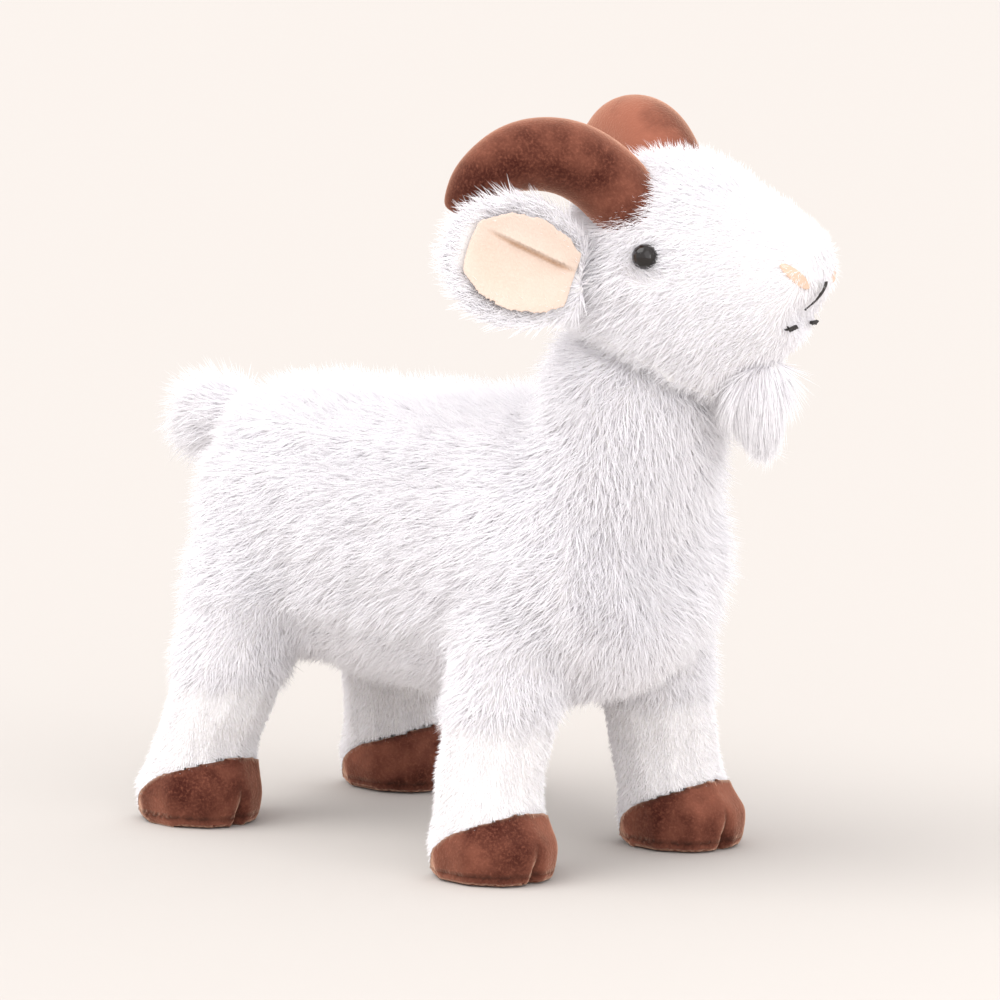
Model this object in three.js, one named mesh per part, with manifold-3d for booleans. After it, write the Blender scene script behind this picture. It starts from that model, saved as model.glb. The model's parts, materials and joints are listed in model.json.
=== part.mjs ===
// A standing plush billy goat: a long-pile coat over fibre stuffing, velour horns and hooves.
// Millimetres, +Z up, the goat looks along +X and its left side is +Y.
// The origin is on the ground, under the middle of the whole toy.

import * as THREE from "three";
import { mergeVertices } from "three/addons/utils/BufferGeometryUtils.js";
import Module from "manifold-3d";

const wasm = await Module();
wasm.setup();

// Thicknesses of the covers, measured through the cloth and its pile.
const LONG_PILE = 6;
const SHORT_PILE = 2.5;
const VELOUR = 2.5;
// Room left between two pieces that touch, and between two that turn past each other.
const GAP = 0.3;
const TURNING_GAP = 1.2;

// The trunk, section by section: place along X, half width, underside and top.
const TRUNK_SECTIONS = [
  [-124, 16, 124, 154],
  [-119, 37, 96, 172],
  [-106, 52, 76, 184],
  [-82, 58, 67, 188],
  [-42, 56, 63, 190],
  [0, 55, 62, 193],
  [40, 58, 64, 197],
  [78, 61, 67, 200],
  [106, 60, 71, 194],
  [124, 50, 82, 180],
  [135, 26, 100, 158],
];
// The neck, section by section: height, middle along X, half length and half width.
const NECK_SECTIONS = [
  [118, 88, 24, 34],
  [140, 97, 40, 50],
  [166, 106, 42, 47],
  [188, 112, 41, 42],
];
// The neck ends in a ball that the head sits on.
const NECK_BALL_CENTRE = new THREE.Vector3(116, 0, 204);
const NECK_BALL_RADIUS = 40;
const NECK_OPENING_RADIUS = 19;

// The head has a frame of its own, turned to the goat's left. X is forward there.
const HEAD_PLACE = new THREE.Vector3(125, 0, 0);
const HEAD_YAW = THREE.MathUtils.degToRad(18.5);
// The head, section by section: place along X, half width, underside and top.
const HEAD_SECTIONS = [
  [-35, 14, 240, 272],
  [-29, 28, 225, 291],
  [-17, 38, 211, 305],
  [2, 43, 203, 312],
  [21, 42, 201, 312],
  [37, 37, 204, 307],
  [51, 30, 214, 299],
  [63, 26.5, 223, 293],
  [72, 24.5, 231, 287],
  [78.5, 22, 240, 282],
  [83, 14.5, 249, 277],
];

// Each foot stands at `foot`, narrows at `ankle` and ends inside the trunk at `top`: X and outward Y.
const LEGS = [
  { name: "front", foot: [87, 55.5], ankle: [81.5, 51.5], top: [86, 26], side: -1 },
  { name: "front", foot: [87, 55.5], ankle: [81.5, 51.5], top: [86, 26], side: 1 },
  { name: "hind", foot: [-96, 60], ankle: [-92, 54], top: [-74, 26], side: -1 },
  { name: "hind", foot: [-96, 60], ankle: [-92, 54], top: [-74, 26], side: 1 },
];
const FOOT_HEIGHT = 16;
const ANKLE_HEIGHT = 42;
const LEG_TOP = 150;
// The short-pile leg and the long-pile thigh: height, half length and half width.
const LOWER_LEG_SECTIONS = [
  [0, 27, 22.5],
  [4, 29, 24.2],
  [16, 29, 24.5],
  [28, 26, 24.2],
  [42, 24.5, 24],
  [80, 25, 24.8],
];
const THIGH_SECTIONS = {
  front: [[65, 26.5, 26.5], [70, 27.5, 27.2], [97, 31, 28.5], [125, 34, 29], [150, 24, 22]],
  hind: [[61, 27, 26.5], [66, 28.2, 27.8], [88, 31.5, 28.5], [112, 36, 29], [134, 36, 27], [154, 24, 18]],
};
const SLEEVE_TOP = 74;
const SOLE_THICKNESS = 2.5;
// The hoof cap is highest at the toe and runs down towards the heel.
const CAP_TOE_HEIGHT = 29;
const CAP_SLOPE = THREE.MathUtils.degToRad(25);
// The cleft is a dent in the toe, a cone standing on the ground.
const CLEFT_RADIUS = 8;
const CLEFT_HEIGHT = 19;
const CLEFT_SQUASH = 0.42;
const CLEFT_FORWARD = 31.5;

// A horn's centre line in the head's frame (forward, outward, height), and its radius on the way.
const HORN_PATH = [
  [2, 21, 286],
  [-6, 28, 301],
  [-20, 38, 311.5],
  [-36, 48, 312],
  [-50, 55, 303],
  [-61, 59, 291],
];
const HORN_RADII = [16, 16.3, 16.6, 15.2, 11.5, 6];

// An ear's seam is at `EAR_ROOT`; the ear reaches along `EAR_REACH` and opens along `EAR_FACING`.
const EAR_ROOT = [-13, 41, 257];
const EAR_REACH = [-0.652, 0.671, 0.356];
const EAR_FACING = [0.729, 0.682, 0.052];
// Place along the ear and half width of the furry back.
const EAR_SECTIONS = [
  [-4, 13],
  [3, 19],
  [14, 26],
  [28, 29],
  [42, 27],
  [53, 19],
  [59, 9],
];
const EAR_THICKNESS = 6;
const EAR_LINING_THICKNESS = 2.4;
const EAR_RIM = 6.5;
const EAR_DISH = 7;

// The tail is a ball in the rump with a rounded stub behind it.
const TAIL_PIVOT = new THREE.Vector3(-119, 0, 167);
const TAIL_BALL_RADIUS = 15;
const TAIL_OPENING_RADIUS = 7;
const TAIL_SWING = 20;
// Place along X, half width, underside and top.
const TAIL_SECTIONS = [
  [-133, 16, 148, 183],
  [-150, 17, 144, 184],
  [-164, 14.5, 147, 181],
  [-171, 8.5, 154, 174],
];

// Eyes, nostrils, mouth and beard, in the head's frame (forward, outward, height).
const EYE_PLACE = [18, 41, 270];
const EYE_RADIUS = 6.2;
const EYE_DOME = 5;
const EYE_SEAT = 2.4;
const SHANK_RADIUS = 2;
const SHANK_LENGTH = 12;
const WASHER_RADIUS = 7.5;
const WASHER_THICKNESS = 1.6;
const NOSTRIL_PLACE = [79, 17, 263];
const NOSTRIL_HALF_LENGTH = 9;
const NOSTRIL_HALF_HEIGHT = 3;
const THREAD_RADIUS = 1.1;
const SEWN_ON_THICKNESS = 1.3;
const MOUTH_PATHS = {
  mouth_thread_middle: [[84, 0, 259], [83, 0, 252], [78.5, 0, 245]],
  mouth_thread_right: [[77.5, -2, 242], [75.2, -11, 240.5], [69.8, -19.5, 243]],
  mouth_thread_left: [[77.5, 2, 242], [75.2, 11, 240.5], [69.8, 19.5, 243]],
};
// Height, place along X, half length and half width of the tuft.
const BEARD_SECTIONS = [
  [217, 50, 8, 7],
  [208, 50.5, 10, 9],
  [196, 52, 9.5, 8.5],
  [184, 53.5, 7, 6.5],
  [175, 54.5, 3, 3],
];

const BEARD_PIVOT = new THREE.Vector3(50, 0, 215);
// The turns of the beard that its root is cut back for, in degrees.
const BEARD_SWINGS = [-25, -16, -8, 0, 6, 12];

const X = new THREE.Vector3(1, 0, 0);
const Y = new THREE.Vector3(0, 1, 0);
const Z = new THREE.Vector3(0, 0, 1);

const cloth = (color) => new THREE.MeshStandardMaterial({ color, roughness: 0.95, metalness: 0 });
const MATERIALS = {
  longPile: () => cloth(0xf6f1ee),
  shortPile: () => cloth(0xefe9e6),
  velour: () => cloth(0x70392b),
  lining: () => cloth(0xf0c9b2),
  stuffing: () => cloth(0xfafafa),
  thread: () => cloth(0x2a2220),
  eye: () => new THREE.MeshStandardMaterial({ color: 0x0a0808, roughness: 0.08, metalness: 0 }),
  washer: () => new THREE.MeshStandardMaterial({ color: 0xdedede, roughness: 0.6, metalness: 0 }),
};

// ---- Geometry ----

// Builds a closed surface from corners and triangles, and turns it to face outward.
function closedSurface(corners, triangles) {
  const geometry = new THREE.BufferGeometry().setFromPoints(corners);
  let volume = 0;
  for (const [a, b, c] of triangles) {
    volume += corners[a].dot(corners[b].clone().cross(corners[c]));
  }
  const outward = volume > 0 ? triangles : triangles.map(([a, b, c]) => [a, c, b]);
  geometry.setIndex(outward.flat());
  return geometry;
}

// One corner of a rounded section. A dished section bends its two edges along `up`.
function sectionCorner({ centre, across, up, halfWidth, halfHeight, dish = 0 }, angle) {
  const side = Math.cos(angle);
  return centre.clone()
    .addScaledVector(across, halfWidth * side)
    .addScaledVector(up, halfHeight * Math.sin(angle) + dish * side * side);
}

// Skins a row of rounded sections and closes both ends.
function loft(sections, sides) {
  const corners = [];
  const triangles = [];
  for (const section of sections) {
    for (let i = 0; i < sides; i += 1) {
      corners.push(sectionCorner(section, (2 * Math.PI * i) / sides));
    }
  }
  for (let s = 0; s + 1 < sections.length; s += 1) {
    for (let i = 0; i < sides; i += 1) {
      const here = s * sides + i;
      const next = s * sides + ((i + 1) % sides);
      triangles.push([here, next, next + sides], [here, next + sides, here + sides]);
    }
  }
  const first = corners.push(sections[0].centre.clone()) - 1;
  const last = corners.push(sections.at(-1).centre.clone()) - 1;
  const end = (sections.length - 1) * sides;
  for (let i = 0; i < sides; i += 1) {
    const next = (i + 1) % sides;
    triangles.push([first, next, i], [last, end + i, end + next]);
  }
  return closedSurface(corners, triangles);
}

// Sections that stand across the X axis, from rows of place, half width, underside and top.
function sectionsAlongX(rows) {
  return rows.map(([x, halfWidth, bottom, top]) => ({
    centre: new THREE.Vector3(x, 0, (bottom + top) / 2),
    across: Y,
    up: Z,
    halfWidth,
    halfHeight: (top - bottom) / 2,
  }));
}

function mergedByPlace(geometry) {
  const bare = geometry.index ? geometry : geometry.clone();
  bare.deleteAttribute("normal");
  bare.deleteAttribute("uv");
  return mergeVertices(bare, 1e-4);
}

// Turns a closed geometry into a solid, moving its surface outward by `growth`.
function solid(geometry, growth = 0) {
  const merged = mergedByPlace(geometry);
  const places = merged.getAttribute("position");
  if (growth !== 0) {
    merged.computeVertexNormals();
    const normals = merged.getAttribute("normal");
    for (let i = 0; i < places.count; i += 1) {
      const place = new THREE.Vector3().fromBufferAttribute(places, i);
      place.addScaledVector(new THREE.Vector3().fromBufferAttribute(normals, i), growth);
      places.setXYZ(i, place.x, place.y, place.z);
    }
  }
  return new wasm.Manifold(new wasm.Mesh({
    numProp: 3,
    vertProperties: new Float32Array(places.array),
    triVerts: new Uint32Array(merged.index.array),
  }));
}

const joined = (...solids) => solids.reduce((all, next) => all.add(next));
const cut = (body, ...tools) => tools.reduce((left, tool) => left.subtract(tool), body);
const common = (...solids) => solids.reduce((all, next) => all.intersect(next));

function geometryOf(body) {
  const mesh = body.getMesh();
  const geometry = new THREE.BufferGeometry();
  geometry.setAttribute("position", new THREE.BufferAttribute(mesh.vertProperties, 3));
  geometry.setIndex(new THREE.BufferAttribute(mesh.triVerts, 1));
  geometry.computeVertexNormals();
  return geometry;
}

function ball(centre, radius, segments = 16) {
  const geometry = new THREE.SphereGeometry(radius, segments, segments / 2);
  geometry.rotateX(Math.PI / 2);
  geometry.translate(centre.x, centre.y, centre.z);
  return solid(geometry);
}

// A solid turned by some degrees about a line through a pivot.
function turned(body, pivot, axis, degrees) {
  const matrix = new THREE.Matrix4().makeTranslation(pivot)
    .multiply(new THREE.Matrix4().makeRotationAxis(axis, THREE.MathUtils.degToRad(degrees)))
    .multiply(new THREE.Matrix4().makeTranslation(pivot.clone().negate()));
  return body.transform(matrix.elements);
}

const FAR = 400;

// Everything between two heights.
function slab(bottom, top) {
  const geometry = new THREE.BoxGeometry(2 * FAR, 2 * FAR, top - bottom);
  geometry.translate(0, 0, (bottom + top) / 2);
  return solid(geometry);
}

function piece(name, body, material) {
  const mesh = new THREE.Mesh(geometryOf(body), material);
  mesh.name = name;
  return mesh;
}

const toy = new THREE.Group();
const head = new THREE.Group();
head.position.copy(HEAD_PLACE);
head.rotation.z = HEAD_YAW;
head.updateMatrixWorld();
toy.add(head);

// ---- Trunk, neck and their stuffing ----

const TRUNK_SIDES = 14;
const trunkSurface = loft(sectionsAlongX(TRUNK_SECTIONS), TRUNK_SIDES);

function neckSections() {
  const column = NECK_SECTIONS.map(([z, x, halfLength, halfWidth]) => [z, x, halfLength, halfWidth]);
  for (const degrees of [0, 18, 36, 54]) {
    const angle = THREE.MathUtils.degToRad(degrees);
    const radius = NECK_BALL_RADIUS * Math.cos(angle);
    const height = NECK_BALL_CENTRE.z + NECK_BALL_RADIUS * Math.sin(angle);
    column.push([height, NECK_BALL_CENTRE.x, radius, radius]);
  }
  return column.map(([z, x, halfLength, halfWidth]) => ({
    centre: new THREE.Vector3(x, 0, z),
    across: X,
    up: Y,
    halfWidth: halfLength,
    halfHeight: halfWidth,
  }));
}

const neckSurface = loft(neckSections(), TRUNK_SIDES);

function trunkAndNeck(growth) {
  return joined(solid(trunkSurface, growth), solid(neckSurface, growth));
}

// The mouth of the neck, where the filling goes through to the head.
function neckOpening() {
  const depth = NECK_BALL_RADIUS;
  const geometry = new THREE.CylinderGeometry(NECK_OPENING_RADIUS, NECK_OPENING_RADIUS, depth, 20);
  geometry.rotateX(Math.PI / 2);
  geometry.translate(NECK_BALL_CENTRE.x, 0, NECK_BALL_CENTRE.z + NECK_BALL_RADIUS);
  return solid(geometry);
}

const neckFillRadius = NECK_BALL_RADIUS - LONG_PILE - TURNING_GAP;
const neckPocket = ball(NECK_BALL_CENTRE, neckFillRadius + TURNING_GAP);
function tailRows() {
  const base = [52, 26, 0].map((degrees) => {
    const angle = THREE.MathUtils.degToRad(degrees);
    const radius = TAIL_BALL_RADIUS * Math.cos(angle);
    const place = TAIL_PIVOT.x + TAIL_BALL_RADIUS * Math.sin(angle);
    return [place, radius, TAIL_PIVOT.z - radius, TAIL_PIVOT.z + radius];
  });
  return [...base, ...TAIL_SECTIONS];
}

const tailSurface = loft(sectionsAlongX(tailRows()), 12);

// The room in the rump for the tail wherever it wags.
const tailPocket = joined(
  ball(TAIL_PIVOT, TAIL_BALL_RADIUS + 2 * TURNING_GAP),
  ...[-TAIL_SWING, 0, TAIL_SWING].map(
    (degrees) => turned(solid(tailSurface, TURNING_GAP), TAIL_PIVOT, Z, degrees),
  ),
);

toy.add(piece(
  "torso_coat",
  cut(trunkAndNeck(0), trunkAndNeck(-LONG_PILE), neckPocket, neckOpening(), tailPocket),
  MATERIALS.longPile(),
));
toy.add(piece(
  "torso_stuffing",
  cut(trunkAndNeck(-LONG_PILE - GAP), neckPocket, slab(NECK_BALL_CENTRE.z, FAR), tailPocket),
  MATERIALS.stuffing(),
));
toy.add(piece("neck_stuffing", ball(NECK_BALL_CENTRE, neckFillRadius, 14), MATERIALS.stuffing()));

// ---- Legs ----

const LEG_SIDES = 10;
const torsoClearance = trunkAndNeck(GAP);

// The middle of a leg at a height: straight up from the foot, then leaning to the ankle and the top.
function legMiddle({ foot, ankle, top, side }, height) {
  const toAnkle = THREE.MathUtils.clamp((height - FOOT_HEIGHT) / (ANKLE_HEIGHT - FOOT_HEIGHT), 0, 1);
  const toTop = THREE.MathUtils.clamp((height - ANKLE_HEIGHT) / (LEG_TOP - ANKLE_HEIGHT), 0, 1);
  const middle = [0, 1].map((axis) => {
    const lower = THREE.MathUtils.lerp(foot[axis], ankle[axis], toAnkle);
    return THREE.MathUtils.lerp(lower, top[axis], toTop);
  });
  return new THREE.Vector3(middle[0], side * middle[1], height);
}

function legSurface(leg, rows) {
  const sections = rows.map(([height, halfLength, halfWidth]) => ({
    centre: legMiddle(leg, height),
    across: X,
    up: Y,
    halfWidth: halfLength,
    halfHeight: halfWidth,
  }));
  return loft(sections, LEG_SIDES);
}

function cleft(leg, growth) {
  const geometry = new THREE.ConeGeometry(CLEFT_RADIUS + growth, CLEFT_HEIGHT + 2 * growth, 10);
  geometry.rotateX(Math.PI / 2);
  geometry.scale(1, CLEFT_SQUASH, 1);
  geometry.translate(leg.foot[0] + CLEFT_FORWARD, leg.side * leg.foot[1], CLEFT_HEIGHT / 2 - 1);
  return solid(geometry);
}

// Everything below the sloping top edge of the hoof cap.
function capRegion(leg, growth) {
  const geometry = new THREE.BoxGeometry(FAR, FAR, FAR);
  geometry.translate(0, 0, -FAR / 2);
  geometry.rotateY(-CAP_SLOPE);
  const toe = leg.foot[0] + LOWER_LEG_SECTIONS[1][1];
  geometry.translate(toe, leg.side * leg.foot[1], CAP_TOE_HEIGHT + growth);
  return solid(geometry);
}

function addLeg(leg) {
  const suffix = `${leg.name}_${leg.side < 0 ? "right" : "left"}`;
  const lower = legSurface(leg, LOWER_LEG_SECTIONS);
  const thigh = legSurface(leg, THIGH_SECTIONS[leg.name]);
  const dent = cleft(leg, 0);
  const overSole = slab(SOLE_THICKNESS + GAP, SLEEVE_TOP);
  const aboveSleeve = slab(SLEEVE_TOP + GAP, FAR);

  toy.add(piece(
    `thigh_coat_${suffix}`,
    cut(
      solid(thigh),
      common(solid(thigh, -LONG_PILE), aboveSleeve),
      common(solid(lower, GAP), slab(0, SLEEVE_TOP + GAP)),
      torsoClearance,
    ),
    MATERIALS.longPile(),
  ));
  const lowerCover = common(cut(solid(lower), solid(lower, -SHORT_PILE)), overSole);
  toy.add(piece(
    `leg_sleeve_${suffix}`,
    cut(lowerCover, capRegion(leg, GAP), torsoClearance),
    MATERIALS.shortPile(),
  ));

  const hoof = cut(solid(lower), dent);
  const hoofInside = cut(solid(lower, -VELOUR), cleft(leg, VELOUR));
  toy.add(piece(
    `hoof_cap_${suffix}`,
    common(cut(hoof, hoofInside), overSole, capRegion(leg, 0)),
    MATERIALS.velour(),
  ));
  toy.add(piece(
    `hoof_sole_${suffix}`,
    common(hoof, slab(0, SOLE_THICKNESS)),
    MATERIALS.velour(),
  ));

  const fillInset = VELOUR + GAP;
  const insideSleeve = solid(lower, -fillInset);
  const insideThigh = solid(thigh, -LONG_PILE - GAP);
  const footFill = common(cut(insideSleeve, cleft(leg, fillInset)), overSole);
  const hemFill = common(insideSleeve, insideThigh, slab(SLEEVE_TOP - GAP, SLEEVE_TOP + 2 * GAP));
  const thighFill = common(insideThigh, aboveSleeve);
  toy.add(piece(
    `leg_stuffing_${suffix}`,
    cut(joined(footFill, hemFill, thighFill), torsoClearance),
    MATERIALS.stuffing(),
  ));
}

LEGS.forEach(addLeg);

// ---- Head ----

const HEAD_SIDES = 14;
const headSurface = loft(sectionsAlongX(HEAD_SECTIONS), HEAD_SIDES);
const ballInHead = head.worldToLocal(NECK_BALL_CENTRE.clone());
const neckRoom = ball(ballInHead, NECK_BALL_RADIUS + TURNING_GAP, 20);

// Mirrors a place in the head's frame to the wanted side: -1 is the goat's right.
const onSide = ([forward, outward, height], side) => new THREE.Vector3(forward, side * outward, height);

// A lathe turned about its own Y axis, laid so that the axis points out of the head at an eye.
function eyeLathe(outline, side) {
  const closedOutline = [...outline, outline[0]].map(([radius, height]) => new THREE.Vector2(radius, height));
  const geometry = new THREE.LatheGeometry(closedOutline, 12);
  const outward = new THREE.Vector3(0.12, side, 0.1).normalize();
  geometry.applyQuaternion(new THREE.Quaternion().setFromUnitVectors(Y, outward));
  const place = onSide(EYE_PLACE, side);
  geometry.translate(place.x, place.y, place.z);
  return solid(geometry);
}

// A safety eye: a dome, a flat back seated in the pile and a shank. `room` makes the hole for it.
function eyeOutline(room) {
  const dome = [];
  for (const degrees of [0, 22, 45, 67]) {
    const angle = THREE.MathUtils.degToRad(degrees);
    dome.push([(EYE_RADIUS + room) * Math.cos(angle), (EYE_DOME + room) * Math.sin(angle)]);
  }
  return [
    [0, -SHANK_LENGTH - room],
    [SHANK_RADIUS + room, -SHANK_LENGTH - room],
    [SHANK_RADIUS + room, -EYE_SEAT - room],
    [EYE_RADIUS + room, -EYE_SEAT - room],
    ...dome,
    [0, EYE_DOME + room],
  ];
}

function washerOutline(room) {
  const outer = WASHER_RADIUS + room;
  const inner = SHANK_RADIUS + GAP - room;
  const near = -LONG_PILE - EYE_SEAT + room;
  const far = near - WASHER_THICKNESS - 2 * room;
  return [[inner, far], [outer, far], [outer, near], [inner, near]];
}

const sides = { right: -1, left: 1 };
const eyeHoles = Object.values(sides).map((side) => eyeLathe(eyeOutline(GAP), side));
const washerRooms = Object.values(sides).map((side) => eyeLathe(washerOutline(GAP), side));

head.add(piece(
  "head_coat",
  cut(solid(headSurface), solid(headSurface, -LONG_PILE), neckRoom, ...eyeHoles),
  MATERIALS.longPile(),
));
head.add(piece(
  "head_stuffing",
  cut(solid(headSurface, -LONG_PILE - GAP), neckRoom, ...eyeHoles, ...washerRooms),
  MATERIALS.stuffing(),
));

// What is sewn on follows the head's surface as a thin skin over it.
const sewnOnSkin = cut(solid(headSurface, GAP + SEWN_ON_THICKNESS), solid(headSurface, GAP));

function nostrilPatch(side) {
  const geometry = new THREE.SphereGeometry(1, 12, 6);
  geometry.scale(NOSTRIL_HALF_LENGTH, 7, NOSTRIL_HALF_HEIGHT);
  geometry.rotateY(THREE.MathUtils.degToRad(40));
  geometry.rotateZ(side * THREE.MathUtils.degToRad(-42));
  const place = onSide(NOSTRIL_PLACE, side);
  geometry.translate(place.x, place.y, place.z);
  return common(solid(geometry), sewnOnSkin);
}

function mouthThread(path) {
  const outline = new THREE.Shape().absarc(0, 0, THREAD_RADIUS, 0, 2 * Math.PI);
  const curve = new THREE.CatmullRomCurve3(path.map((place) => new THREE.Vector3(...place)));
  const wide = new THREE.ExtrudeGeometry(outline, { extrudePath: curve, steps: 4, curveSegments: 4 });
  return common(solid(wide, THREAD_RADIUS), sewnOnSkin);
}

for (const [sideName, side] of Object.entries(sides)) {
  head.add(piece(`eye_${sideName}`, eyeLathe(eyeOutline(0), side), MATERIALS.eye()));
  head.add(piece(`eye_washer_${sideName}`, eyeLathe(washerOutline(0), side), MATERIALS.washer()));
  head.add(piece(`nostril_patch_${sideName}`, nostrilPatch(side), MATERIALS.lining()));
}
for (const [name, path] of Object.entries(MOUTH_PATHS)) {
  head.add(piece(name, mouthThread(path), MATERIALS.thread()));
}

// ---- Horns ----

const headClearance = solid(headSurface, GAP);

// Sections across a curved centre line, kept upright about the head's vertical.
function hornSurface(side) {
  const curve = new THREE.CatmullRomCurve3(HORN_PATH.map((place) => onSide(place, side)));
  const last = HORN_RADII.length - 1;
  const sections = HORN_RADII.map((radius, i) => {
    const along = curve.getTangent(i / last);
    const across = new THREE.Vector3().crossVectors(Z, along).normalize();
    const up = new THREE.Vector3().crossVectors(along, across).normalize();
    return { centre: curve.getPoint(i / last), across, up, halfWidth: radius * 0.9, halfHeight: radius };
  });
  return loft(sections, 10);
}

for (const [sideName, side] of Object.entries(sides)) {
  const surface = hornSurface(side);
  head.add(piece(
    `horn_cover_${sideName}`,
    cut(solid(surface), solid(surface, -VELOUR), headClearance),
    MATERIALS.velour(),
  ));
  head.add(piece(
    `horn_stuffing_${sideName}`,
    cut(solid(surface, -VELOUR - GAP), headClearance),
    MATERIALS.stuffing(),
  ));
}

// ---- Ears ----

function earSurface(side, { narrower, thickness, forward }) {
  const reach = onSide(EAR_REACH, side).normalize();
  const facing = onSide(EAR_FACING, side).normalize();
  const upward = new THREE.Vector3().crossVectors(facing, reach).normalize();
  const sections = EAR_SECTIONS.map(([along, halfWidth]) => ({
    centre: onSide(EAR_ROOT, side).addScaledVector(reach, along).addScaledVector(facing, forward),
    across: upward,
    up: facing,
    halfWidth: Math.max(halfWidth - narrower, 2),
    halfHeight: thickness / 2,
    dish: EAR_DISH * (halfWidth / EAR_SECTIONS[3][1]) ** 2,
  }));
  return loft(narrower > 0 ? sections.slice(1, -1) : sections, 12);
}

const earRootRoom = solid(headSurface, TURNING_GAP);

for (const [sideName, side] of Object.entries(sides)) {
  const back = earSurface(side, { narrower: 0, thickness: EAR_THICKNESS, forward: 0 });
  const liningForward = (EAR_THICKNESS + EAR_LINING_THICKNESS) / 2;
  const lining = earSurface(side, {
    narrower: EAR_RIM,
    thickness: EAR_LINING_THICKNESS,
    forward: liningForward,
  });
  head.add(piece(`ear_back_${sideName}`, cut(solid(back), earRootRoom), MATERIALS.longPile()));
  head.add(piece(
    `ear_lining_${sideName}`,
    cut(solid(lining), solid(back, GAP), earRootRoom),
    MATERIALS.lining(),
  ));
}

// ---- Beard ----

function beardSurface() {
  const sections = BEARD_SECTIONS.map(([height, forward, halfLength, halfWidth]) => ({
    centre: new THREE.Vector3(forward, 0, height),
    across: X,
    up: Y,
    halfWidth: halfLength,
    halfHeight: halfWidth,
  }));
  return loft(sections, 10);
}

head.add(piece(
  "beard_tuft",
  cut(
    solid(beardSurface()),
    ...BEARD_SWINGS.map((degrees) => turned(earRootRoom, BEARD_PIVOT, Y, -degrees)),
  ),
  MATERIALS.longPile(),
));

// ---- Tail ----

const tailOpening = new THREE.CylinderGeometry(
  TAIL_OPENING_RADIUS,
  TAIL_OPENING_RADIUS,
  TAIL_BALL_RADIUS * 2,
  10,
);
tailOpening.rotateZ(Math.PI / 2);
tailOpening.translate(TAIL_PIVOT.x + TAIL_BALL_RADIUS, 0, TAIL_PIVOT.z);
toy.add(piece(
  "tail_cover",
  cut(solid(tailSurface), solid(tailSurface, -LONG_PILE), solid(tailOpening)),
  MATERIALS.longPile(),
));
toy.add(piece("tail_stuffing", solid(tailSurface, -LONG_PILE - GAP), MATERIALS.stuffing()));

// ---- Stand the toy over the origin ----

const extent = new THREE.Box3().setFromObject(toy, true);
const middle = extent.getCenter(new THREE.Vector3());
toy.position.set(-middle.x, -middle.y, -extent.min.z);

export default toy;
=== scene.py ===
"""A standing plush billy goat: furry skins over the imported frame, velour horns and hooves, and a studio."""

import json
import math

import bmesh
import bpy
from mathutils import Matrix, Vector
from mathutils.bvhtree import BVHTree
from mathutils.noise import noise_vector, seed_set


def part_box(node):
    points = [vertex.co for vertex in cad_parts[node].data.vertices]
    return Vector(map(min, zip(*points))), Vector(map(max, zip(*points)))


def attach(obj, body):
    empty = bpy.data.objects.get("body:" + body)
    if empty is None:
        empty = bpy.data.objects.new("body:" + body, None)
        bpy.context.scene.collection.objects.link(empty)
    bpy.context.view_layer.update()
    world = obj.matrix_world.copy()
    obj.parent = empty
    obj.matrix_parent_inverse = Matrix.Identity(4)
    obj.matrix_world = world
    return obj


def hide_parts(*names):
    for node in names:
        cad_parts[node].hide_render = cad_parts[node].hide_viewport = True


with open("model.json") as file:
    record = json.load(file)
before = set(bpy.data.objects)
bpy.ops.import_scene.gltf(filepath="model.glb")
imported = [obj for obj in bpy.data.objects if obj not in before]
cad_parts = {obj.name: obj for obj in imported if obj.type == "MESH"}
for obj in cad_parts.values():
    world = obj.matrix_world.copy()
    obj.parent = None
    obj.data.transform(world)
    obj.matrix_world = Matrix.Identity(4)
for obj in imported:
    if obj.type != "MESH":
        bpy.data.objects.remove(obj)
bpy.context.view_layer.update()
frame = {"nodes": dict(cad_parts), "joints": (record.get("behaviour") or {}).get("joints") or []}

bl_info = {
    "name": "Plush Goat",
    "version": (1, 0, 0),
    "blender": (4, 5, 0),
    "location": "3D View > Sidebar > Goat",
    "description": "Builds a shaggy plush goat over its packed frame",
    "category": "Add Mesh",
}

MM = 0.001
UP = Vector((0, 0, 1))
LEGS = [f"{end}_{side}" for end in ("front", "hind") for side in ("right", "left")]
SIDES = ("right", "left")
MERGE_DISTANCE = 2e-6
BOXES = {}


def node_box(name):
    """The lowest and highest corner of a CAD node, measured once."""
    if name not in BOXES:
        BOXES[name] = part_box(name)
    return BOXES[name]


def held(value):
    """A value held between 0 and 1."""
    return min(1, max(0, value))


def joint(name):
    """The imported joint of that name."""
    return next(j for j in frame["joints"] if j["name"] == name)


NECK = Vector(joint("head_turn")["pos_m"])
HEAD_LEFT = Vector(joint("head_nod")["axis"]).normalized()
HEAD_FORWARD = HEAD_LEFT.cross(UP).normalized()
HEAD_PLACE = NECK + Vector((9 * MM, 0, -NECK.z))
HEAD_FRAME = Matrix.Translation(HEAD_PLACE) @ Matrix((HEAD_FORWARD, HEAD_LEFT, UP)).transposed().to_4x4()


def in_head(forward, outward, height, side="left"):
    """A place in millimetres in the head's own frame, as a place in the frame."""
    sign = 1 if side == "left" else -1
    return HEAD_FRAME @ Vector((forward * MM, sign * outward * MM, height * MM))


# ---- Settings that a user would change ----


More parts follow.
